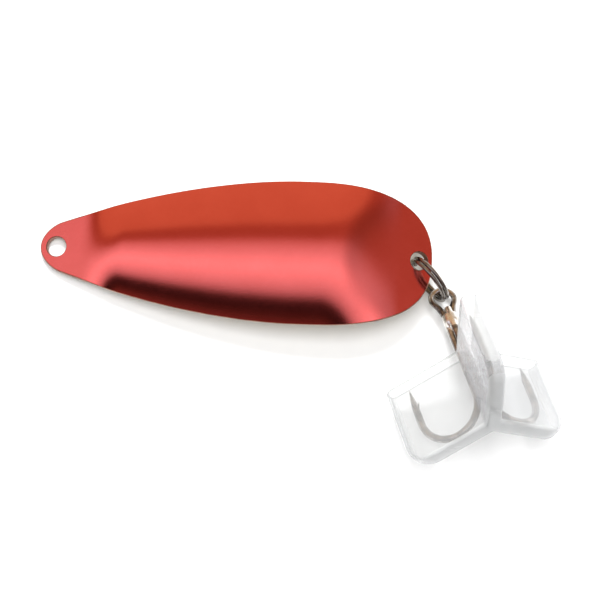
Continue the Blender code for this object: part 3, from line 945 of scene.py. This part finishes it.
def star(thickness, reach, tip_round, root_round):
    """Outline of three wings seen along the shank, as points in order round it."""
    points = []
    for arm in range(3):
        turn = math.radians(120 * arm)
        outward = arm_direction(turn)
        sideways = arm_direction(turn + math.pi / 2)
        root = (thickness / 2 + root_round) / math.tan(math.radians(60))
        for side in (-1, 1):
            flank = []
            for step in range(WING_STEPS + 1):
                share = step / WING_STEPS
                along = root + (reach - tip_round - root) * share
                flank.append(along * outward + side * thickness / 2 * sideways)
            for step in range(1, TIP_STEPS + 1):
                angle = math.pi / 2 * step / TIP_STEPS
                along = reach - tip_round * (1 - math.sin(angle))
                across = thickness / 2 - tip_round * (1 - math.cos(angle))
                flank.append(along * outward + side * across * sideways)
            points += flank if side < 0 else flank[::-1]
        way = turn + math.radians(60)
        centre = arm_direction(way) * (thickness + 2 * root_round) / math.sqrt(3)
        for step in range(1, ROOT_STEPS):
            angle = way + math.pi + math.radians(30 - 60 * step / ROOT_STEPS)
            points.append(centre + root_round * arm_direction(angle))
    return points


def corner_draw_in(x, last, radius):
    """How far a round of this radius has drawn the side in at x, where the round ends at last."""
    into = min(max((x - (last - radius)) / radius, 0.0), 1.0)
    return radius * (1 - math.sqrt(1 - into**2))


def corner_shortfall(step, steps):
    """Share of a quarter round's radius that is left at this step: 1 at its start, 0 at its end."""
    return 1 - math.sin(math.pi / 2 * step / steps)


def guard_wall(x, last, inset, floor_round):
    """Thickness and reach of the wings at x, on a surface inset from the guard's outside."""
    pinch = corner_draw_in(x, last, floor_round)
    reach = guard_reach() - inset - corner_draw_in(x, last, GUARD_CORNER - inset)
    return guard_thickness() - 2 * inset - 2 * pinch, reach - GUARD_TIP_DRAW_IN * pinch


def guard_sections():
    """Sections from the inner floor up the pocket, over the lip, and down the outside to the end."""
    end = guard_bottom()
    floor = end - GUARD_WALL
    lip = GUARD_WALL / 2
    lip_end = guard_mouth() + lip
    inner_stops = [lip_end + (floor - guard_mouth() - lip) * share for share in WALL_STOPS]
    outer_stops = [lip_end + (end - guard_mouth() - lip) * share for share in WALL_STOPS]
    for step in range(CORNER_STOPS + 1):
        left = GUARD_CORNER * corner_shortfall(step, CORNER_STOPS)
        inner_stops.append(floor - left * GUARD_INNER_CORNER_SHARE)
        outer_stops.append(end - left)
    for step in range(FLOOR_STOPS + 1):
        left = corner_shortfall(step, FLOOR_STOPS)
        inner_stops.append(floor - GUARD_INNER_FLOOR_ROUND * left)
        outer_stops.append(end - GUARD_OUTER_FLOOR_ROUND * left)
    sections = []
    inner_stops = {round(stop, STOP_DIGITS) for stop in inner_stops if stop <= floor}
    for x in sorted(inner_stops, reverse=True):
        thick, reach = guard_wall(x, floor, GUARD_WALL, GUARD_INNER_FLOOR_ROUND)
        root = GUARD_ROOT_ROUND + GUARD_WALL
        sections.append((x, thick, reach, GUARD_INNER_TIP_ROUND * thick, root))
    for step in range(1, LIP_STEPS):
        angle = math.pi * step / LIP_STEPS
        out = lip * (1 - math.cos(angle))
        x = lip_end - lip * math.sin(angle)
        thick = guard_thickness() - 2 * GUARD_WALL + 2 * out
        reach = guard_reach() - GUARD_WALL + out
        root = GUARD_ROOT_ROUND + GUARD_WALL - out
        sections.append((x, thick, reach, GUARD_LIP_TIP_ROUND * thick, root))
    outer_stops = {round(stop, STOP_DIGITS) for stop in outer_stops if stop <= end}
    for x in sorted(outer_stops):
        thick, reach = guard_wall(x, end, 0.0, GUARD_OUTER_FLOOR_ROUND)
        sections.append((x, thick, reach, GUARD_OUTER_TIP_ROUND * thick, GUARD_ROOT_ROUND))
    return sections


def build_guard(matrix):
    shape = bmesh.new()
    rings = []
    for x, thickness, reach, tip_round, root_round in guard_sections():
        outline = star(thickness, reach, tip_round, root_round)
        rings.append([shape.verts.new(Vector((x, 0, 0)) + point) for point in outline])
    skin(shape, rings)
    caps = [shape.faces.new(rings[0]), shape.faces.new(list(reversed(rings[-1])))]
    bmesh.ops.triangulate(shape, faces=caps)
    mesh = mesh_from(shape, "guard_shell")
    mesh.set_sharp_from_angle(angle=GUARD_SHARP_ANGLE)
    clear = guard_material(
        "clear_guard",
        clear_alpha=0.19,
        edge_alpha=0.62,
        tint=(0.60, 0.61, 0.61),
        deep_tint=(0.58, 0.585, 0.61),
    )
    rim = guard_material(
        "guard_rim",
        clear_alpha=0.62,
        edge_alpha=0.86,
        tint=(0.50, 0.53, 0.51),
        deep_tint=(0.44, 0.46, 0.45),
    )
    edge = guard_material(
        "guard_edge",
        clear_alpha=0.44,
        edge_alpha=0.76,
        tint=(0.58, 0.59, 0.59),
        deep_tint=(0.48, 0.49, 0.50),
    )
    floor_band = guard_bottom() - GUARD_FLOOR_BAND * GUARD_WALL
    end_band = guard_reach() - GUARD_END_BAND * GUARD_WALL
    for face in mesh.polygons:
        reach = math.hypot(face.center.y, face.center.z)
        if face.center.x < guard_mouth() + GUARD_WALL:
            face.material_index = 1
        elif face.center.x > floor_band or reach > end_band:
            face.material_index = 2
    mesh.transform(matrix)
    return object_from("guard_shell", mesh, [clear, rim, edge])


# ---- Studio ----


def build_floor():
    shape = bmesh.new()
    bmesh.ops.create_grid(shape, x_segments=8, y_segments=8, size=FLOOR_HALF_SIZE)
    mesh = mesh_from(shape, "floor")
    nodes = Nodes("paper_floor")
    nodes.set(Roughness=0.9, Specular_IOR_Level=0.15)
    dark, light = (0.88, 0.88, 0.88), (0.92, 0.92, 0.92)
    fibres = nodes.noise(scale=220.0, detail=3.0)
    nodes.link(nodes.mix(fibres, dark, light), nodes.shader.inputs["Base Color"])
    mesh.transform(Matrix.Translation((0, 0, -FLOOR_GAP)))
    floor = object_from("floor", mesh, [nodes.material])


def add_lamp(name, location, size, energy):
    """An area lamp that points at the origin. Neither the camera nor a reflection sees it."""
    data = bpy.data.lights.new(name, "AREA")
    data.shape = "RECTANGLE"
    data.size, data.size_y = size
    data.energy = energy
    lamp = bpy.data.objects.new(name, data)
    bpy.context.scene.collection.objects.link(lamp)
    lamp.location = location
    towards = Vector((0.0, 0.0, 0.0)) - Vector(location)
    lamp.rotation_euler = towards.to_track_quat("-Z", "Y").to_euler()
    lamp.visible_camera = False
    lamp.visible_glossy = False


def build_world():
    """A studio that only reflections see, and an even grey for all other light.

    Reflections see a softbox overhead, a dark gap in front of it and a warm wall behind it.
    """
    world = bpy.data.worlds.new("studio")
    bpy.context.scene.world = world
    world.use_nodes = True
    tree = world.node_tree

    def added(kind, **settings):
        node = tree.nodes.new(kind)
        for name, value in settings.items():
            setattr(node, name, value)
        return node

    def link(source, target):
        tree.links.new(source, target)

    def number(operation, first, second):
        node = added("ShaderNodeMath", operation=operation)
        for value, socket in zip((first, second), node.inputs):
            if isinstance(value, (int, float)):
                socket.default_value = value
            else:
                link(value, socket)
        return node.outputs["Value"]

    def ramp(source, stops):
        node = added("ShaderNodeValToRGB")
        elements = node.color_ramp.elements
        while len(elements) < len(stops):
            elements.new(0.5)
        for element, (place, colour) in zip(elements, stops):
            element.position = place
            element.color = (*colour, 1.0)
        link(source, node.inputs["Fac"])
        return node.outputs["Color"]

    split = added("ShaderNodeSeparateXYZ")
    link(added("ShaderNodeTexCoord").outputs["Generated"], split.inputs["Vector"])
    front = number("MULTIPLY", split.outputs["Y"], -1.0)
    angle = number("ARCTAN2", split.outputs["Z"], front)
    # Far to the right the back wall comes forward, so that the tail's slope mirrors it.
    lean_start, lean_end, most_lean = 0.50, 0.70, math.radians(9.0)
    lean = added("ShaderNodeMapRange", interpolation_type="SMOOTHSTEP")
    lean.inputs["From Min"].default_value = lean_start
    lean.inputs["From Max"].default_value = lean_end
    lean.inputs["To Max"].default_value = most_lean
    link(split.outputs["X"], lean.inputs["Value"])
    leaning = number("ADD", angle, lean.outputs["Result"])
    # Colours from the front (0 degrees) over the top (90) to the back (180).
    studio = (
        (0, (0.30, 0.20, 0.18)),
        (52, (0.24, 0.12, 0.10)),
        (59, (0.06, 0.035, 0.03)),
        (64, (0.02, 0.015, 0.015)),
        (69, (0.03, 0.02, 0.02)),
        (73, (0.62, 0.60, 0.66)),
        (78, (0.98, 0.96, 1.08)),
        (90, (1.50, 1.46, 1.62)),
        (99, (1.06, 1.04, 1.14)),
        (106, (0.80, 0.62, 0.60)),
        (110, (0.44, 0.20, 0.12)),
        (117, (0.42, 0.19, 0.11)),
        (121, (0.70, 0.44, 0.24)),
        (150, (0.76, 0.50, 0.28)),
        (180, (0.80, 0.70, 0.60)),
    )
    stops = [(degrees / 180, colour) for degrees, colour in studio]
    overhead = ramp(number("DIVIDE", leaning, math.pi), stops)
    # Brightness from the left (-1) to the right (1).
    shades = (
        (0.0, 1.0),
        (0.36, 1.0),
        (0.45, 0.72),
        (0.51, 0.58),
        (0.58, 0.72),
        (0.66, 1.0),
        (0.80, 1.0),
        (1.0, 0.6),
    )
    side = added("ShaderNodeMapRange")
    side.inputs["From Min"].default_value = -1.0
    link(split.outputs["X"], side.inputs["Value"])
    stops = [((across + 1.0) / 2, (shade, shade, shade)) for across, shade in shades]
    sideways = ramp(side.outputs["Result"], stops)
    seen = added("ShaderNodeMix", data_type="RGBA", blend_type="MULTIPLY")
    seen.inputs["Factor"].default_value = 1.0
    link(overhead, seen.inputs["A"])
    link(sideways, seen.inputs["B"])
    even_grey = (0.42, 0.42, 0.42, 1.0)
    shown = added("ShaderNodeMix", data_type="RGBA")
    link(added("ShaderNodeLightPath").outputs["Is Glossy Ray"], shown.inputs["Factor"])
    shown.inputs["A"].default_value = even_grey
    link(seen.outputs["Result"], shown.inputs["B"])
    link(shown.outputs["Result"], tree.nodes["Background"].inputs["Color"])


def build_camera():
    azimuth, elevation, roll = math.radians(2.7), math.radians(80.0), math.radians(0.45)
    target = Vector((0.00005, 0.0040, 0.0066))
    level = math.cos(elevation)
    back = Vector((math.sin(azimuth) * level, -math.cos(azimuth) * level, math.sin(elevation)))
    data = bpy.data.cameras.new("camera")
    data.lens = 135.0
    data.sensor_width = 36.0
    # Width of the view at the target, in metres.
    field = 0.1108
    camera = bpy.data.objects.new("camera", data)
    bpy.context.scene.collection.objects.link(camera)
    camera.location = target + back * field * data.lens / data.sensor_width
    facing = (-back).to_track_quat("-Z", "Y").to_matrix().to_4x4()
    place = Matrix.Translation(camera.location)
    camera.matrix_world = place @ facing @ Matrix.Rotation(roll, 4, "Z")
    data.clip_start, data.clip_end = 0.01, 10.0
    bpy.context.scene.camera = camera


def build_scene():
    ring_pivot = Vector(joints["ring_swing"]["pos_m"])
    eye_place = Vector(joints["treble_swing"]["pos_m"])
    seat_x = BLADE_LENGTH - tail_hole_inset() + RING_SEAT_SHIFT[0]
    seat = Vector((seat_x, RING_SEAT_SHIFT[1], blade_height(seat_x, 0)))
    blade_matrix = posed(ring_pivot, 0, -BLADE_PITCH, 0) @ Matrix.Translation(-seat)
    ring_matrix = posed(ring_pivot, RING_YAW, RING_DROOP, RING_LEAN)
    treble_matrix = posed(eye_place, TREBLE_YAW, -TREBLE_RISE, TREBLE_ROLL)
    blade = build_blade(blade_matrix)
    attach(blade, "blade")
    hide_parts("spoon_blade")
    ring = build_ring(ring_matrix)
    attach(ring, "ring")
    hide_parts("split_ring")
    double, single = build_hooks(treble_matrix)
    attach(double, "treble")
    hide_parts("double_hook")
    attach(single, "treble")
    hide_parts("single_hook")
    braze = build_braze(treble_matrix)
    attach(braze, "treble")
    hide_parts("braze")
    guard = build_guard(treble_matrix)
    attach(guard, "guard")
    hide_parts("hook_guard")
    build_floor()
    build_world()
    add_lamp("key", location=(-0.05, 0.45, 0.75), size=(0.30, 0.18), energy=7.6)
    add_lamp("top", location=(0.0, 0.0, 0.9), size=(0.6, 0.4), energy=6.0)
    build_camera()
    bpy.context.scene.view_settings.view_transform = "Standard"


build_scene()
